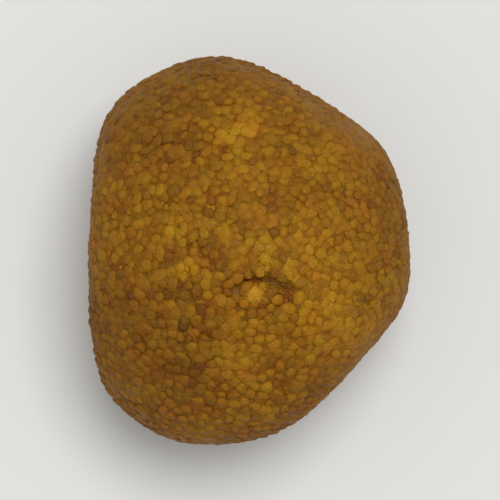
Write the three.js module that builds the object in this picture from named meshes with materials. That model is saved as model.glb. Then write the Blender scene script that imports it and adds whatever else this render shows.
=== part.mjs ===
// A boondi ladoo: a sweet of fine fried gram-flour drops, bound with sugar syrup and ghee and rolled
// into a ball between the palms. It is one solid. It was packed while still soft, so its neighbours
// have pressed some of its sides nearly flat, and it has settled on a flat spot of its own.
//
// Millimetres, +Z up. The flat spot lies on z = 0, and the middle of the ball's outline, seen from
// above, is over the origin. The ball is longest along +Y, and its flattest side faces -X.

import * as THREE from "three";
import { mergeVertices } from "three/addons/utils/BufferGeometryUtils.js";

// Overall size of the finished ball.
const WIDTH = 34.5;
const LENGTH = 42.0;
const HEIGHT = 34.0;

// The ball as it was rolled: half its size each way, and how far its middle lies from the core point
// that every other size is measured from.
const ROLLED_RADII = new THREE.Vector3(20.5, 22.3, 18.4);
const ROLLED_MIDDLE = new THREE.Vector3(-0.6, -0.3, 0.0);

// The sides that its neighbours pressed: the way each one faces, in degrees round +Z from +X and up
// from the level, and its distance from the core point.
const PRESSED_SIDES = [
  { facing: 179, rise: -4, distance: 16.6 },
  { facing: 106, rise: 2, distance: 23.0 },
  { facing: 60, rise: 6, distance: 17.8 },
  { facing: 7, rise: -8, distance: 17.3 },
  { facing: 316, rise: 3, distance: 17.5 },
  { facing: 283, rise: -3, distance: 20.7 },
];
const EDGE_SHARPNESS = 14; // higher leaves a tighter round edge between two pressed sides

// Unevenness left by the palms, in two sizes: coarse lumps, and the clusters of drops on them.
const LUMP_SIZES = [
  { spacing: 7.0, height: 0.14, seed: 13 },
  { spacing: 3.2, height: 0.18, seed: 32 },
];

// A small pit on the top, where a few drops have come away.
const PIT = { x: 0.7, y: -4.7, length: 5.4, width: 2.8, depth: 0.9 };

// The ball has sunk this far onto its flat spot, and the spot's rim is rounded over this height.
const SETTLED = 1.9;
const RIM_ROUNDING = 0.5;

const SURFACE_DETAIL = 16; // each edge of the icosahedron under the surface is cut into one more piece
const LADOO_COLOUR = 0x90621e;

// A repeatable number from 0 to 1 for the n-th lump of a seeded set.
function scattered(n, seed) {
  const wave = Math.sin(n * 12.9898 + seed * 78.233) * 43758.5453;
  return wave - Math.floor(wave);
}

// The n-th of count directions spread evenly over a sphere, along a spiral from pole to pole.
function spiralDirection(n, count) {
  const z = 1 - (2 * n + 1) / count;
  const around = n * Math.PI * (3 - Math.sqrt(5));
  const level = Math.sqrt(1 - z * z);
  return new THREE.Vector3(level * Math.cos(around), level * Math.sin(around), z);
}

// The direction that a pressed side faces.
function facingDirection({ facing, rise }) {
  const around = THREE.MathUtils.degToRad(facing);
  const up = THREE.MathUtils.degToRad(rise);
  const level = Math.cos(up);
  return new THREE.Vector3(level * Math.cos(around), level * Math.sin(around), Math.sin(up));
}

// Distance from the core point to the rolled ball's surface along a direction: the ray meets the
// ellipsoid where a quadratic in that distance is zero.
function rolledDistance(direction) {
  const ray = direction.clone().divide(ROLLED_RADII);
  const middle = ROLLED_MIDDLE.clone().divide(ROLLED_RADII);
  const along = ray.dot(middle);
  const square = ray.lengthSq();
  return (along + Math.sqrt(along * along - square * (middle.lengthSq() - 1))) / square;
}

// The same distance once the sides are pressed: the shortest of the ball's and the flats', blended
// as the root of a sum of high powers, so that their edges stay round.
function pressedDistance(direction, sides) {
  let sum = rolledDistance(direction) ** -EDGE_SHARPNESS;
  for (const side of sides) {
    const towards = direction.dot(side.direction);
    if (towards > 0) sum += (towards / side.distance) ** EDGE_SHARPNESS;
  }
  return sum ** (-1 / EDGE_SHARPNESS);
}

// Every lump as a direction, a height and the share of the sphere that it spreads over.
function makeLumps() {
  const radius = (WIDTH + LENGTH + HEIGHT) / 6;
  const lumps = [];
  for (const { spacing, height, seed } of LUMP_SIZES) {
    const count = Math.round((4 * Math.PI * radius * radius) / (spacing * spacing));
    const spread = spacing / radius;
    for (let n = 0; n < count; n++) {
      const wander = new THREE.Vector3(scattered(n, seed), scattered(n, seed + 1), scattered(n, seed + 2));
      const direction = spiralDirection(n, count).addScaledVector(wander.subScalar(0.5), spread).normalize();
      lumps.push({ direction, height: height * (2 * scattered(n, seed + 3) - 1), spread });
    }
  }
  return lumps;
}

// How far the lumps raise or lower the surface along a direction: a sum of round bumps.
function lumpHeight(direction, lumps) {
  let sum = 0;
  for (const lump of lumps) {
    const away = (2 * (1 - direction.dot(lump.direction))) / (lump.spread * lump.spread);
    if (away < 6) sum += lump.height * Math.exp(-2 * away);
  }
  return sum;
}

// How deep the pit is at a point of the upper surface: an oval bowl that runs out smoothly.
function pitDepth({ x, y, z }) {
  if (z < 0) return 0;
  const across = ((x - PIT.x) / (PIT.length / 2)) ** 2 + ((y - PIT.y) / (PIT.width / 2)) ** 2;
  return PIT.depth * Math.exp(-across);
}

// Height above the resting surface once the ball has sunk onto it: zero below -RIM_ROUNDING, unchanged
// above +RIM_ROUNDING, and a parabola that joins the two.
function settledHeight(z) {
  if (z <= -RIM_ROUNDING) return 0;
  if (z >= RIM_ROUNDING) return z;
  return (z + RIM_ROUNDING) ** 2 / (4 * RIM_ROUNDING);
}

// The ball's surface: an even ball of triangles, each vertex moved out along its own direction.
function makeLadooGeometry() {
  const ball = new THREE.IcosahedronGeometry(1, SURFACE_DETAIL);
  ball.deleteAttribute("normal");
  ball.deleteAttribute("uv");
  const surface = mergeVertices(ball, 1e-5);
  const points = surface.getAttribute("position");
  const sides = PRESSED_SIDES.map((side) => ({ direction: facingDirection(side), distance: side.distance }));
  const lumps = makeLumps();
  const point = new THREE.Vector3();
  for (let n = 0; n < points.count; n++) {
    const direction = point.fromBufferAttribute(points, n).normalize().clone();
    point.copy(direction).multiplyScalar(pressedDistance(direction, sides) + lumpHeight(direction, lumps));
    point.addScaledVector(direction, -pitDepth(point));
    points.setXYZ(n, point.x, point.y, settledHeight(point.z + ROLLED_RADII.z - SETTLED));
  }
  surface.computeBoundingBox();
  const size = surface.boundingBox.getSize(new THREE.Vector3());
  const middle = surface.boundingBox.getCenter(new THREE.Vector3());
  surface.translate(-middle.x, -middle.y, 0);
  surface.scale(WIDTH / size.x, LENGTH / size.y, HEIGHT / size.z);
  surface.computeVertexNormals();
  return surface;
}

function makeLadoo() {
  const material = new THREE.MeshStandardMaterial({ color: LADOO_COLOUR, roughness: 0.6, metalness: 0 });
  const ladoo = new THREE.Mesh(makeLadooGeometry(), material);
  ladoo.name = "ladoo";
  return ladoo;
}

const root = new THREE.Group();
root.add(makeLadoo());
export default root;
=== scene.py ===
# %% [markdown]
# # A boondi ladoo, drop by drop
#
# A boondi ladoo is a ball of tiny drops of gram-flour batter. The drops are fried in ghee, soaked in
# sugar syrup, and rolled into a ball between the palms while they are still warm and sticky.
#
# The model holds the ball's form: its pressed sides, its pit and the flat spot that it rests on.
# This lesson keeps that form and gives it the surface of the real sweet: a mash of burst drops, the
# whole drops that lie pressed into it, and the crumbs that have come loose.

# %% Load the model
import itertools

import bpy
import numpy as np
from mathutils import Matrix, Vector


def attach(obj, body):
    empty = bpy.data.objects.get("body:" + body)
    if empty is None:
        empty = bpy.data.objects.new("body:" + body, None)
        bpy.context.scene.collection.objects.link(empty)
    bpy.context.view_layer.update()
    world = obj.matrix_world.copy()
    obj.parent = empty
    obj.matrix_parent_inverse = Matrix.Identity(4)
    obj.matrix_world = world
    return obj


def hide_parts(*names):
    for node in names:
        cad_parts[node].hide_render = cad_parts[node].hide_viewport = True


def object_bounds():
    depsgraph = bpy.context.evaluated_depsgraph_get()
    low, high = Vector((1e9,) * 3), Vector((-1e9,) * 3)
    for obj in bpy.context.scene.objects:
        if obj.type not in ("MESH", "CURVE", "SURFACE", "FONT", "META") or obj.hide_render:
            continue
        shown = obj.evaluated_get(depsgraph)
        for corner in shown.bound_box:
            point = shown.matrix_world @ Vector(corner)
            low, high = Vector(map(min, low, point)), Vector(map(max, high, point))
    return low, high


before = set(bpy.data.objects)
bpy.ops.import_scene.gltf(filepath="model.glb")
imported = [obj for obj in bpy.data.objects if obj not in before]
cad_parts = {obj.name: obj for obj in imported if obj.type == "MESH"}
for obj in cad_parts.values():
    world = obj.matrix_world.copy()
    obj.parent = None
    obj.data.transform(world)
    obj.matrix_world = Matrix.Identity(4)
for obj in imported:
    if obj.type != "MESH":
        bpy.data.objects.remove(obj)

MM = 0.001  # Blender works in metres, and every size below is in millimetres

model_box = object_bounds()
low, high = (np.array(corner) / MM for corner in model_box)
core = (low + high) / 2  # every distance below is measured from here
print("model box in mm:", low.round(2), high.round(2))

# %% [markdown]
# ## Where the surface lies
#
# The new surface has many more points than the model's, so it needs the model's form between the
# model's own points. Subdividing a copy of the model would do it, but then the drops could not ask
# where the surface is. So the form is a function: it takes any way out from the core, and gives the
# distance to the surface, as a mean of the model's distances nearby.

# %% The ball's form as a function
BLOCK = 512  # this many points are worked out at once, so that the tables of distances stay small
FORM_REACH = 0.045  # radians, or about 0.8 mm on the surface: the model's own points lie 1.3 mm apart


def split_ways(points):
    """Each point's way from the core, as a row of length 1, and its distance along it."""
    distance = np.linalg.norm(points, axis=1)
    return points / distance[:, None], distance


def model_points(node):
    """The node's points in millimetres from the core, each place listed once."""
    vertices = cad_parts[node].data.vertices
    flat = np.empty(len(vertices) * 3, np.float32)
    vertices.foreach_get("co", flat)
    return np.unique(np.round(flat.reshape(-1, 3) / MM, 3), axis=0) - core.astype(np.float32)


model_ways, model_distance = split_ways(model_points("ladoo"))


def form_distance(ways):
    """Distance from the core to the ball's surface along each way.

    It is the mean of the model's distances, each with the weight exp((cosine - 1) / reach^2), which
    falls off as a bell curve does with the angle between the two ways.
    """
    found = np.empty(len(ways), np.float32)
    for start in range(0, len(ways), BLOCK):
        cosine = ways[start:start + BLOCK].astype(np.float32) @ model_ways.T
        weight = np.exp((cosine - 1) / FORM_REACH**2)
        found[start:start + BLOCK] = weight @ model_distance / weight.sum(axis=1)
    return found


surface_area = 4 * np.pi * np.mean(model_distance**2)
print("points read from the model:", len(model_ways), "surface in mm2:", round(surface_area))

# %% [markdown]
# ## A ball of even squares
#
# A ball made of rings and slices has crowded poles, and one of them would be on top, in plain view.
# A cube's six sides, blown up into a ball, have nearly even squares everywhere. One function serves
# the whole ladoo with fine squares and a single drop with a few.

# %% Grid of a ball
def ball_grid(cuts):
    """Ways and four-sided faces of a ball whose six sides have cuts x cuts squares each.

    A side is a grid of u and v from -1 to 1. Its point is (1, tan(u pi / 4), tan(v pi / 4)), turned
    to the side's own direction and pulled in to length 1. The tangent keeps the squares even.
    Points that two sides share are merged.
    """
    steps = np.tan(np.pi / 4 * np.linspace(-1, 1, cuts + 1))
    u, v = np.meshgrid(steps, steps, indexing="ij")
    side = np.stack([np.ones_like(u), u, v], axis=-1).reshape(-1, 3)
    number = np.arange(len(side)).reshape(cuts + 1, cuts + 1)
    square = np.stack([number[:-1, :-1], number[1:, :-1], number[1:, 1:], number[:-1, 1:]], axis=-1)
    square = square.reshape(-1, 4)
    points, faces = [], []
    for turn, sign in itertools.product(range(3), (1, -1)):
        faces.append(square[:, ::sign] + len(side) * len(points))
        points.append(np.roll(side, turn, axis=1) * sign)
    points, where = np.unique(np.round(np.concatenate(points), 6), axis=0, return_inverse=True)
    return split_ways(points)[0], where.reshape(-1)[np.concatenate(faces)]


print("faces of a ball with 3 x 3 squares a side:", len(ball_grid(3)[1]))

# %% [markdown]
# ## Uneven by nature
#
# Nothing on a ladoo repeats. Soft noise varies its heights and its colour over a chosen distance,
# and always gives the same values for the same seed.

# %% Soft noise
NOISE_CELLS = 32


def soft_noise(points, size, seed):
    """Smooth random values from -1 to 1 that change over about size millimetres.

    Random values sit on the corners of a grid of cubes. A point takes the mean of its cube's eight
    corners, with the weight 3t^2 - 2t^3 along each side of the cube, where t goes from 0 to 1.
    """
    corners = np.random.default_rng(seed).uniform(-1, 1, (NOISE_CELLS,) * 3)
    place = points / size
    cell = np.floor(place).astype(int)
    t = place - cell
    t = t * t * (3 - 2 * t)
    total = np.zeros(len(points))
    for corner in itertools.product((0, 1), repeat=3):
        x, y, z = ((cell + corner) % NOISE_CELLS).T
        total += corners[x, y, z] * np.where(corner, t, 1 - t).prod(axis=1)
    return total


def layered_noise(points, layers):
    """Sum of soft noises: each layer gives its strength, its size in millimetres and its seed."""
    return sum(strength * soft_noise(points, size, seed) for strength, size, seed in layers)


# %% [markdown]
# ## Where the drops lie
#
# Drops pack as closely as marbles in a tray, but not in rows. Ways picked at random have clumps and
# holes, so they are pushed apart a little in a few rounds: enough to even them out, and too little
# to line them up.

# %% Scatter ways over the ball
DROP_ROOM = 0.78  # surface that a drop takes up, over its width squared: drops overlap a little
PUSH = 0.35  # how much of the push a way gives in to in one round


def scattered_ways(width, seed, rounds=12):
    """Ways to the middles of drops that are width millimetres across and cover the ball.

    The count is the surface divided by the room that one drop takes up. In each round, a way moves
    off its neighbours, each of which pushes it by exp(-(gap / spacing)^2).
    """
    count = round(surface_area / (DROP_ROOM * width**2))
    ways = split_ways(np.random.default_rng(seed).normal(size=(count, 3)))[0].astype(np.float32)
    spacing = np.sqrt(4 * np.pi / count)
    for _ in range(rounds):
        closeness = np.exp((ways @ ways.T - 1) * 2 / spacing**2)
        away = ways * closeness.sum(axis=1, keepdims=True) - closeness @ ways
        ways = split_ways(ways + PUSH * away)[0]
    return ways.astype(float)


# %% [markdown]
# ## The named places
#
# A few places on this ladoo differ from the rest. A small pit on its top has one pale drop left in
# it. Some drops were fried less and are yellower. Two pale specks are painted highlights, with a
# painted shadow below one, and a darker stripe is painted shade along a crack. Round its middle,
# where it lay against the other ladoos, it was pressed hard, and its colour is darker there: painted
# shade on its sides.
#
# Each place is a soft bump, worked out at any point of the surface. That is simpler than painting
# the colours on a map, and it serves the skin, the drops and the crumbs alike. A colour is one
# number, the tone, from 0 for dark brown to 1 for pale yellow.

# %% Where the colour changes
COLOUR_DRIFTS = [(0.05, 7.0, 41), (0.04, 3.0, 42)]  # in tone, size in mm and seed
# Painted shade: how much darker the colour is round the ball's middle, on its sides
PAINTED_SIDE_SHADE = 0.17  # in tone
TINTS_AND_PAINTED_LIGHT = [  # x, y and reach in mm, and the change in tone: below 0 is browner
    (-1.5, 13.0, 2.4, 0.18),
    (9.2, 9.6, 2.5, 0.08),
    (-6.0, 11.9, 1.2, -0.12),
    (-10.6, 13.4, 4.0, -0.08),
    (-3.8, 18.8, 2.5, -0.06),
    # Painted highlights: the next two pale specks
    (-6.9, -2.2, 0.7, 0.26),
    (-8.4, 2.3, 0.7, 0.16),
    # Painted shadow below the first speck
    (-6.4, -4.6, 0.9, -0.12),
    # Painted shade along a crack: the next two
    (-5.6, -7.0, 0.9, -0.12),
    (-5.0, -9.4, 0.9, -0.10),
    (-5.8, -10.7, 0.7, 0.18),
    (-6.1, -12.2, 0.8, -0.12),
    (-12.6, -8.0, 5.0, -0.10),
    (-8.0, -15.5, 3.0, -0.07),
    (-2.8, -1.8, 1.3, -0.08),
    (1.3, -1.3, 1.3, 0.12),
    (0.6, -8.6, 2.0, 0.08),
    (-1.0, -13.2, 2.0, 0.07),
    (10.5, -7.0, 4.0, 0.10),
]


def pressed(points):
    """How hard each place was pressed: 1 round the ball's middle, where it lay against the others, and
    1 - (height from the middle / half of the whole height)^2 above and below.
    """
    return 1 - np.clip(points[:, 2] / core[2], -1, 1) ** 2


def tint_and_painted_light(points):
    """Sum over the tints of each one's strength times exp(-(distance / reach)^2 / 2).

    The tints are on the upper half only, and a few of them are painted highlights and painted shade.
    The colour also drifts at random, and is darker round the ball's middle, where the ball was
    pressed: that darkening is painted shade on its sides.
    """
    # The term with pressed() darkens the colour round the middle: painted shade on the sides
    total = layered_noise(points, COLOUR_DRIFTS) - PAINTED_SIDE_SHADE * pressed(points)
    above = 1 / (1 + np.exp(-points[:, 2]))  # 1 on the upper half and 0 on the lower, softly
    for x, y, reach, strength in TINTS_AND_PAINTED_LIGHT:
        square = (points[:, 0] - x) ** 2 + (points[:, 1] - y) ** 2
        total += strength * above * np.exp(-square / (2 * reach**2))
    return total


# %% The pit
PIT = {"x": 0.8, "y": -4.8, "half_length": 4.1, "half_width": 2.0}
RING = {"middle": 0.8, "breadth": 0.26}  # in half lengths and half widths of the pit
LID_SHARE = 0.38  # of the ring's depth


def pit_groove(points):
    """How deep in the pit's groove a point lies, from 0 to 1.

    With q the distance from the pit's middle in half lengths and half widths, it is
    exp(-((q - middle) / breadth)^2), an oval ring round the drop that is left in the middle. The
    ring is deepest on its +Y side, like an eyelid, and runs out on the other: it is multiplied by
    1 - share + share tanh(2 y + 1.4 x).
    """
    x = (points[:, 0] - PIT["x"]) / PIT["half_length"]
    y = (points[:, 1] - PIT["y"]) / PIT["half_width"]
    ring = np.exp(-(((np.hypot(x, y) - RING["middle"]) / RING["breadth"]) ** 2))
    ring *= 1 - LID_SHARE + LID_SHARE * np.tanh(2 * y + 1.4 * x)
    return np.where(points[:, 2] > 0, ring, 0.0)


# %% [markdown]
# ## The drops
#
# A drop of batter falls through a ladle's holes and fries into a bead, 1 to 2 mm across. They cover
# the whole ball. Here and there one has come away and leaves a hole, and the pit's groove has lost
# all of its own.

# %% Scatter the drops
DROP_WIDTH = 1.3
LOST_SHARE = 0.03
BARE_GROOVE = 0.5  # where the pit's groove is deeper than this, it has lost its drops

drop_ways = scattered_ways(DROP_WIDTH, seed=17)
drop_places = drop_ways * form_distance(drop_ways)[:, None]
chance = np.random.default_rng(19)
lost = (pit_groove(drop_places) > BARE_GROOVE) | (chance.random(len(drop_ways)) < LOST_SHARE)
drop_ways, drop_places = drop_ways[~lost], drop_places[~lost]
print("drops:", len(drop_ways), "lost:", lost.sum())

# %% [markdown]
# ## No two drops alike
#
# Drops differ in size and in how long they were fried. The palms press half of them flush with one
# another, and the rest stand a little proud. Where the ball was pressed hardest, they differ less.

# %% Width and colour of each drop
WIDTH_LEAN, WIDTH_SPREAD = 0.04, 0.2  # as shares of DROP_WIDTH, like the next two
NARROWEST, WIDEST = 0.66, 1.6
DROP_TONE, FRY_SPREAD = 0.58, 0.1
PALER_SHARE, PALER_STEP = 0.4, 0.02  # a paler fry counts for a share only, so few drops are very pale
EVENED = 0.6  # share of the spread of colours and heights that hard pressing takes away

spread = 1 - EVENED * pressed(drop_places)
drop_widths = np.exp(chance.normal(WIDTH_LEAN, WIDTH_SPREAD, len(drop_ways)))
drop_widths = DROP_WIDTH * np.clip(drop_widths, NARROWEST, WIDEST)
fry = chance.normal(0, FRY_SPREAD, len(drop_ways)) * spread
drop_tones = DROP_TONE + np.minimum(fry, PALER_SHARE * fry + PALER_STEP) + tint_and_painted_light(drop_places)
print("tones:", drop_tones.min().round(2), "to", drop_tones.max().round(2))

# %% Height of each drop
TOP_HEIGHT, TOP_SPREAD = 0.02, 0.06  # mm over the form
SWELLS = [(0.05, 4.5, 21)]  # mm up or down that neighbours share, size in mm and seed
PIT_DROP = {"width": 2.2, "tone": 0.86, "top": 0.22}

drop_tops = chance.normal(TOP_HEIGHT, TOP_SPREAD, len(drop_ways)) + layered_noise(drop_places, SWELLS)
drop_tops *= spread

from_pit = np.hypot(drop_places[:, 0] - PIT["x"], drop_places[:, 1] - PIT["y"])
from_pit[drop_places[:, 2] < 0] = np.inf  # the pit is on top
left_in_pit = np.argmin(from_pit)
for values, name in ((drop_widths, "width"), (drop_tones, "tone"), (drop_tops, "top")):
    values[left_in_pit] = PIT_DROP[name]

standing = drop_tops > np.median(drop_tops)
print("widths in mm:", drop_widths.min().round(2), "to", drop_widths.max().round(2))

# %% [markdown]
# ## The skin of mash
#
# Many drops burst in the rolling, and their mash fills the gaps and binds the rest. It is one skin
# over the whole ball. It lies lower than the drops' tops, and climbs a little way up the side of
# each one, as syrup does, so that no drop looks stuck on.

# %% Height of the mash
MASH_LOW = -0.34  # mm over the form, where the drops stand clear of it
SMEARED_UP, PRESSED_UP = 0.22, 0.13  # mm that smearing and pressing lift it, at most
SMEAR_SIZE = 4.0
MASH_LUMPS = [(0.07, 1.3, 8), (0.06, 0.6, 9)]  # mm up or down, size in mm and seed
# The mash's tones are partly painted shade: darker the lower it lies, in the creases between drops
MASH_LEVELS, MASH_SHADED_TONES = (-0.4, 0.0), (0.35, 0.55)  # browner low down, paler where smeared on top


def mash_level(places):
    """Height of the mash over the form: low, and higher where it was smeared or pressed, with lumps."""
    smear = 0.5 + 0.5 * soft_noise(places, SMEAR_SIZE, 7)
    level = MASH_LOW + SMEARED_UP * smear**2 + PRESSED_UP * pressed(places)
    return level + layered_noise(places, MASH_LUMPS)


# %% Relief of the skin
COLLAR = {"drop": 0.11, "wider": 1.12, "depth": 0.36}  # step and depth in mm
LOWEST = -2.0  # mm: no cap goes lower, so that its exponential stays a number
CREASE = 26.0  # per mm: higher makes the creases sharper


def skin_relief(places, level):
    """Height of the skin at each place on the form, and the tone that shows there.

    Under each drop the skin is a cap: its drop's top, less a step, less depth times (distance / half
    width)^3. The skin is the logarithm of the sum of exp(crease times height) over the mash and
    every cap, divided by crease: that is close to the highest of them, with soft creases. Each one's
    tone counts by its share of the sum. The mash's tone goes with its height: darker low in the
    creases, which is painted shade, and paler where it was smeared on top.
    """
    tops = (drop_tops - COLLAR["drop"]).astype(np.float32)
    caps, tones = drop_places.astype(np.float32), drop_tones.astype(np.float32)
    wide = (COLLAR["wider"] * drop_widths / 2).astype(np.float32) ** 2
    far = (caps**2).sum(axis=1)
    # Painted shade: the mash is darker the lower it lies
    shaded_mash_tones = np.interp(level, MASH_LEVELS, MASH_SHADED_TONES)
    height, tone = np.empty((2, len(places)), np.float32)
    for start in range(0, len(places), BLOCK):
        now = slice(start, start + BLOCK)
        block = places[now].astype(np.float32)
        square = (block**2).sum(axis=1)[:, None] + far - 2 * block @ caps.T
        share = np.maximum(square, 0) / wide
        weight = np.exp(CREASE * np.maximum(tops - COLLAR["depth"] * share * np.sqrt(share), LOWEST))
        mash = np.exp(CREASE * level[now])
        total = weight.sum(axis=1) + mash
        height[now] = np.log(total) / CREASE
        tone[now] = (weight @ tones + mash * shaded_mash_tones[now]) / total
    return height, tone


# %% Shape the skin
SKIN_CUTS = 128
SKIN_TINT = 0.5  # share of each tint that the skin takes by itself
# The pit's groove is also painted darker: painted shade in the groove
GROOVE_DEPTH, GROOVE_SHADE = 0.65, 0.14  # in mm and in tone


def settle(points):
    """Keeps the points on or above the surface that the ball rests on."""
    points[:, 2] = np.maximum(points[:, 2], low[2] - core[2])
    return points


skin_ways, skin_faces = ball_grid(SKIN_CUTS)
skin_places = skin_ways * form_distance(skin_ways)[:, None]
relief, skin_tones = skin_relief(skin_places, mash_level(skin_places))
groove = pit_groove(skin_places)
skin_points = settle(skin_places + skin_ways * (relief - GROOVE_DEPTH * groove)[:, None])
# The groove term darkens the skin in the pit's groove: painted shade
skin_tones = skin_tones + SKIN_TINT * tint_and_painted_light(skin_places) - GROOVE_SHADE * groove
print("relief of the skin in mm:", relief.min().round(2), "to", relief.max().round(2))

# %% [markdown]
# ## The shape of a drop
#
# A drop lies wider than it is tall, with its outer side nearly flat from the palms. All the drops of
# one kind are worked out at once, as one array with a row for each drop and a column for each of
# its points.

# %% Shape drops
DROP_CUTS = 3  # 54 small faces, which is plenty for something this small
LONGER, SHORTER = (1.0, 1.25), (0.82, 1.0)  # its two axes along the surface, as shares of its width
WAVINESS = 1.6  # how fast the waves run over it
SQUASH = 0.2  # of its half height, which the palms took off its outer side


def drop_axes(ways, chance):
    """Three axes for each drop: two along the surface, turned by a random angle, and one out of it."""
    aside = split_ways(np.cross(ways, chance.normal(size=ways.shape)))[0]
    return np.stack([aside, np.cross(ways, aside), ways], axis=1)


def shape_drops(ways, widths, tops, chance, flatness, lumpiness=0.075, cuts=DROP_CUTS):
    """Points and faces of all the drops together, and the number of points in each.

    A drop is a ball, scaled to its half widths along its three axes, of which flatness gives the one
    out of the surface. Its outer half is flattened as z - squash z^3, and each point is moved in or
    out by three waves over the ball, at random, so that no two drops are alike. Its top is at its
    own height over the form.
    """
    ball, faces = ball_grid(cuts)
    count = len(ways)
    waves = chance.normal(0, WAVINESS, (count, 3, 3))
    phase = chance.uniform(0, 2 * np.pi, (count, 1, 3))
    lumps = 1 + lumpiness * np.cos(ball @ waves + phase).sum(axis=2)
    shares = [chance.uniform(*LONGER, count), chance.uniform(*SHORTER, count), np.full(count, flatness)]
    half = widths[:, None] / 2 * np.stack(shares, axis=1)
    shape = ball * lumps[:, :, None]
    shape[:, :, 2] -= SQUASH * np.maximum(shape[:, :, 2], 0) ** 3
    shape *= half[:, None, :]
    middle = ways * (form_distance(ways) + tops - (1 - SQUASH) * half[:, 2])[:, None]
    points = middle[:, None, :] + shape @ drop_axes(ways, chance)
    faces = faces + len(ball) * np.arange(count)[:, None, None]
    return settle(points.reshape(-1, 3)), faces.reshape(-1, 4), len(ball)


# %% [markdown]
# ## Fried gram flour in ghee and syrup
#
# The batter is gram flour, which fries to a golden amber. Ghee and syrup soak in, so light goes a
# short way into a drop before it comes back, and they leave a faint, broken shine on a surface that
# is otherwise matt. The colour of each drop depends on how long it was fried, so every piece carries
# a number for it, the tone, and one material turns tones into colours.

# %% Colours and a node helper
def linear(hex_colour):
    """A colour written as sRGB hex, as the four linear numbers that a shader takes."""
    srgb = np.array([int(hex_colour[n:n + 2], 16) for n in (1, 3, 5)]) / 255
    value = np.where(srgb <= 0.04045, srgb / 12.92, ((srgb + 0.055) / 1.055) ** 2.4)
    return (*value.tolist(), 1.0)


def add_node(tree, kind, inputs=None, **settings):
    """Adds a node, applies its settings, and fills its inputs with values or other nodes' outputs."""
    node = tree.nodes.new("ShaderNode" + kind)
    for name, value in settings.items():
        setattr(node, name, value)
    for name, value in (inputs or {}).items():
        if isinstance(value, bpy.types.NodeSocket):
            tree.links.new(value, node.inputs[name])
        else:
            node.inputs[name].default_value = value
    return node


# %% [markdown]
# ## From tone to colour
#
# A ramp turns tones into colours, from the brown of a drop fried long to the yellow of one fried
# little. Noise moves the tone up and down within a drop, and a wider noise turns the hue a little
# from one group of drops to the next, as ghee and syrup do when they soak in unevenly. Real sizes in
# millimetres give the noises their scales.

# %% The colour of fried gram flour
FRIED_TONES = [(0.0, "#452304"), (0.3, "#6e4307"), (0.5, "#885a09"), (0.7, "#9f6f0d"), (1.0, "#bd8f20")]
MOTTLE_SIZE, GRAIN_SIZE, DRIFT_SIZE = 0.6, 0.3, 2.0  # mm: spots on a drop, its crust, groups of drops
MOTTLE_SWING = 0.14  # in tone
HUE_SWING = 0.024  # of the whole circle of hues


def fried_colour(tree, place, mottle):
    """The colour at each place: the ramp, read at the tone plus the mottle's swing, turned in hue."""
    tone = add_node(tree, "Attribute", attribute_name="tone").outputs["Fac"]
    swing = add_node(tree, "MapRange", {
        "Value": mottle,
        "To Min": -MOTTLE_SWING,
        "To Max": MOTTLE_SWING,
    })
    varied = add_node(tree, "Math", {0: tone, 1: swing.outputs["Result"]}, operation="ADD")
    ramp = add_node(tree, "ValToRGB", {"Fac": varied.outputs["Value"]})
    marks = ramp.color_ramp.elements  # a new ramp has its two ends, at 0 and 1
    for position, _ in FRIED_TONES[1:-1]:
        marks.new(position)
    for mark, (_, colour) in zip(marks, FRIED_TONES):
        mark.color = linear(colour)
    drift = add_node(tree, "TexNoise", {"Vector": place, "Scale": 1 / (DRIFT_SIZE * MM), "Detail": 2.0})
    hue = add_node(tree, "MapRange", {
        "Value": drift.outputs["Fac"],
        "To Min": 0.5 - HUE_SWING,
        "To Max": 0.5 + HUE_SWING,
    })
    turned = add_node(tree, "HueSaturation", {
        "Hue": hue.outputs["Result"],
        "Color": ramp.outputs["Color"],
    })
    return turned.outputs["Color"]


# %% The finish of fried gram flour
DRY_ROUGHNESS, WET_ROUGHNESS = 0.75, 0.5
GRAIN_DEPTH = 0.25  # mm
LIGHT_REACH = 0.6  # mm that red light goes into a drop, and the others less


def fried_gram_flour():
    """Fried gram flour soaked in ghee and syrup: a grainy, matt crust with a faint, broken shine.

    Where the mottle is paler the crust is dry and rough, and where it is browner it is wet and
    smoother.
    """
    material = bpy.data.materials.new("fried_gram_flour")
    material.use_nodes = True
    tree = material.node_tree
    tree.nodes.clear()
    place = add_node(tree, "TexCoord").outputs["Object"]
    mottle = add_node(tree, "TexNoise", {"Vector": place, "Scale": 1 / (MOTTLE_SIZE * MM), "Detail": 3.0})
    crust = add_node(tree, "TexNoise", {"Vector": place, "Scale": 1 / (GRAIN_SIZE * MM), "Detail": 3.0})
    wetness = add_node(tree, "MapRange", {
        "Value": mottle.outputs["Fac"],
        "From Min": 0.35,  # most of the noise lies between these two
        "From Max": 0.65,
        "To Min": WET_ROUGHNESS,
        "To Max": DRY_ROUGHNESS,
    })
    grain = add_node(tree, "Bump", {
        "Height": crust.outputs["Fac"],
        "Strength": 1.0,
        "Distance": GRAIN_DEPTH * MM,
    })
    skin = add_node(tree, "BsdfPrincipled", {
        "Base Color": fried_colour(tree, place, mottle.outputs["Fac"]),
        "Roughness": wetness.outputs["Result"],
        "Normal": grain.outputs["Normal"],
        "IOR": 1.46,
        "Specular IOR Level": 0.12,
        "Subsurface Weight": 0.4,
        "Subsurface Radius": (1.0, 0.5, 0.15),
        "Subsurface Scale": LIGHT_REACH * MM,
        "Coat Weight": 0.05,
        "Coat Roughness": 0.22,
    })
    add_node(tree, "OutputMaterial", {"Surface": skin.outputs["BSDF"]})
    return material


fried = fried_gram_flour()
print("material:", fried.name, "with", len(fried.node_tree.nodes), "nodes")

# %% [markdown]
# ## From arrays to pieces
#
# Each piece is one mesh whose points already lie where they belong, so its object stays at the
# origin. The arrays go in whole, and the faces are shaded smooth.

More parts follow.
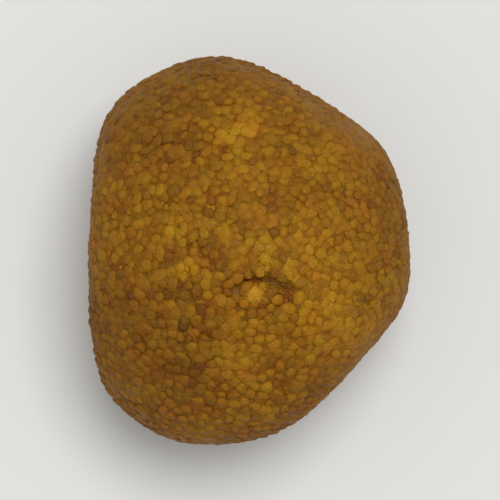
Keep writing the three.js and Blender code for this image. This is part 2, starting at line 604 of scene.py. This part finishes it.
# %% Make the pieces
def make_piece(name, points, faces, tones):
    """A mesh object from points in millimetres from the core, its faces and a tone for each point."""
    mesh = bpy.data.meshes.new(name)
    mesh.from_pydata((points + core) * MM, [], faces.tolist())
    mesh.polygons.foreach_set("use_smooth", np.ones(len(faces), bool))
    mesh.attributes.new("tone", "FLOAT", "POINT").data.foreach_set("value", tones.astype(np.float32))
    mesh.materials.append(fried)
    mesh.update()
    piece = bpy.data.objects.new(name, mesh)
    bpy.context.scene.collection.objects.link(piece)
    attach(piece, "root")
    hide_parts("ladoo")
    print(name, "triangles:", 2 * len(faces))


make_piece("skin", skin_points, skin_faces, skin_tones)

# %% [markdown]
# ## Pressed and standing drops
#
# The two kinds have the same making and differ in height: the pressed ones are flatter.

# %% Lay the two kinds of drop
FLATNESS = {"pressed_drops": 0.62, "standing_drops": 0.78}  # height over width before the squash

for name, lot in (("pressed_drops", ~standing), ("standing_drops", standing)):
    points, faces, each = shape_drops(
        drop_ways[lot], drop_widths[lot], drop_tops[lot], np.random.default_rng(23), FLATNESS[name]
    )
    make_piece(name, points, faces, np.repeat(drop_tones[lot], each))

# %% [markdown]
# ## Crumbs
#
# Broken bits of drops stick to the outside. They are smaller than the drops, lumpier and rounder.
# They lie anywhere, and some have gathered in the pit.

# %% Scatter the crumbs
CRUMB_COUNT, CRUMBS_IN_PIT = 2200, 110

crumb_chance = np.random.default_rng(29)
by_the_pit = crumb_chance.normal(size=(CRUMBS_IN_PIT, 3))
by_the_pit *= (PIT["half_length"] / 2, PIT["half_width"] / 2, 0)
by_the_pit += (PIT["x"], PIT["y"], core[2])
anywhere = crumb_chance.normal(size=(CRUMB_COUNT, 3))
crumb_ways = split_ways(np.concatenate([by_the_pit, anywhere]))[0]
crumb_places = crumb_ways * form_distance(crumb_ways)[:, None]
print("crumbs:", len(crumb_ways))

# %% Shape the crumbs
CRUMB_WIDTH, CRUMB_LEAST, CRUMB_MOST = 0.5, 0.25, 0.95  # mm
CRUMB_SPREAD = 0.3  # of the widths, as a share
CRUMB_TOP, CRUMB_TOP_SPREAD = -0.05, 0.07  # mm over the form
CRUMB_TONE, CRUMB_TONE_SPREAD = 0.5, 0.07
CRUMB_FLATNESS, CRUMB_LUMPINESS, CRUMB_CUTS = 0.8, 0.12, 2

count = len(crumb_ways)
crumb_groove = pit_groove(crumb_places)
crumb_widths = CRUMB_WIDTH * np.exp(crumb_chance.normal(0, CRUMB_SPREAD, count))
crumb_widths = np.clip(crumb_widths, CRUMB_LEAST, CRUMB_MOST)
crumb_tops = crumb_chance.normal(CRUMB_TOP, CRUMB_TOP_SPREAD, count) - GROOVE_DEPTH * crumb_groove
crumb_tones = CRUMB_TONE + crumb_chance.normal(0, CRUMB_TONE_SPREAD, count) + tint_and_painted_light(crumb_places)
# Crumbs in the groove are darker as well: painted shade
crumb_tones -= GROOVE_SHADE * crumb_groove
points, faces, each = shape_drops(
    crumb_ways, crumb_widths, crumb_tops, crumb_chance, CRUMB_FLATNESS, CRUMB_LUMPINESS, CRUMB_CUTS
)
make_piece("crumbs", points, faces, np.repeat(crumb_tones, each))

# %% [markdown]
# ## Floor, light and camera
#
# A plain pale floor and soft studio light keep the colour honest. Half of the light comes evenly
# from all round, so that no side of the ball is lost in shade. The rest is a broad light overhead,
# tilted a little to the back and right: it leaves the ball brightest on top, and its small
# highlights and shadows show the drops. A weak one fills the left side.

# %% Floor
FLOOR_HALF = 30.0  # metres, so that its edge is out of sight in a low view
FLOOR_GAP = 0.02  # mm under the ball, so that the two never share a surface


def pale_paint():
    """Matt paint on a studio's floor: it shows the ball's shade and no reflection."""
    material = bpy.data.materials.new("pale_paint")
    material.use_nodes = True
    shader = material.node_tree.nodes["Principled BSDF"]
    shader.inputs["Base Color"].default_value = linear("#d2d2d0")
    shader.inputs["Roughness"].default_value = 0.8
    return material


floor_mesh = bpy.data.meshes.new("floor")
around = ((-1, -1), (1, -1), (1, 1), (-1, 1))
corners = [(x * FLOOR_HALF, y * FLOOR_HALF, -FLOOR_GAP * MM) for x, y in around]
floor_mesh.from_pydata(corners, [], [(0, 1, 2, 3)])
floor_mesh.materials.append(pale_paint())
floor = bpy.data.objects.new("floor", floor_mesh)
bpy.context.scene.collection.objects.link(floor)
print("floor in m:", 2 * FLOOR_HALF)


# %% Light
def soft_sun(name, towards, spread, strength):
    """An even light from far off: its rays come from the direction towards, over spread degrees."""
    light = bpy.data.lights.new(name, "SUN")
    light.angle = np.radians(spread)
    light.energy = strength
    holder = bpy.data.objects.new(name, light)
    bpy.context.scene.collection.objects.link(holder)
    holder.rotation_euler = Vector(towards).to_track_quat("Z", "Y").to_euler()


soft_sun("overhead", towards=(0.14, 0.24, 1.0), spread=25, strength=1.95)
soft_sun("left_fill", towards=(-1.0, -0.6, 0.8), spread=60, strength=0.1)

world = bpy.data.worlds.new("studio")
world.use_nodes = True
all_round = world.node_tree.nodes["Background"]
all_round.inputs["Color"].default_value = linear("#e9e9e7")
all_round.inputs["Strength"].default_value = 0.73
bpy.context.scene.world = world
bpy.context.scene.view_settings.view_transform = "Standard"
print("lights:", [light.name for light in bpy.data.lights])

# %% Camera
CAMERA_HEIGHT = 0.62  # metres over the floor, straight above the ball
SHOWN_LENGTH = 54.0  # mm from the top of the render to its bottom, at the height of the ball's middle

camera_data = bpy.data.cameras.new("camera")
distance = CAMERA_HEIGHT - core[2] * MM
camera_data.lens = camera_data.sensor_width * distance / (SHOWN_LENGTH * MM)
camera = bpy.data.objects.new("camera", camera_data)
camera.location = (core[0] * MM, core[1] * MM, CAMERA_HEIGHT)
bpy.context.scene.collection.objects.link(camera)
bpy.context.scene.camera = camera
print("lens in mm:", round(camera_data.lens))
